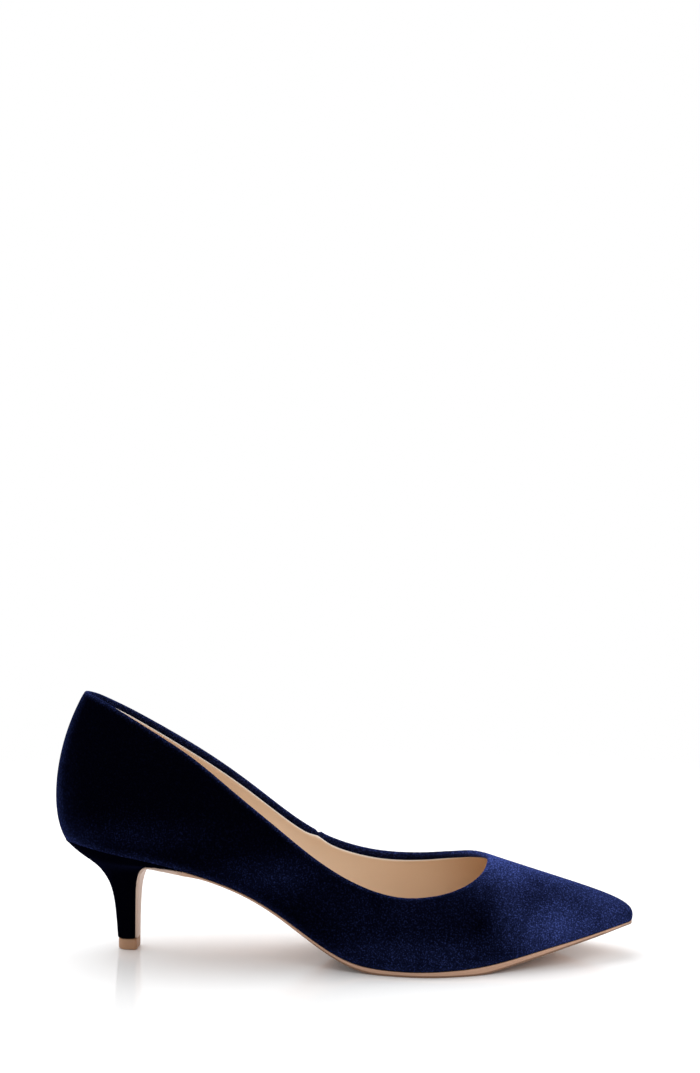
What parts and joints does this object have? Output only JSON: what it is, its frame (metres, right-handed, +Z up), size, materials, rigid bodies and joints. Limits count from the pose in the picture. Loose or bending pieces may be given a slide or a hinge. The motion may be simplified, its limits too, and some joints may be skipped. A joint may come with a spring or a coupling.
{
  "type": "kitten heel pump",
  "caption": "Right kitten heel pump in navy velvet: pointed closed toe, low throat, curved covered heel, beige lining, thin leather sole with a flap down the heel's front.",
  "frame": {"origin": "centre of the bounding box's bottom, on the floor that the heel and the forefoot stand on", "axes": "+X from the heel to the toe, +Y to the wearer's inner (medial) side, +Z up from the floor"},
  "size_m": [0.2529, 0.0777, 0.1129],
  "materials": {
    "velvet_upper": "navy velvet with a soft crushed nap",
    "sock_lining": "smooth beige lining leather",
    "sole": "plain beige sole leather",
    "velvet_heel": "navy velvet stretched over the heel block",
    "top_piece": "tan wear pad"
  },
  "bodies": {
    "root": {"upper": "velvet_upper", "insole": "sock_lining", "outsole": "sole", "heel": "velvet_heel", "top_piece": "top_piece"}
  },
  "joints": []
}
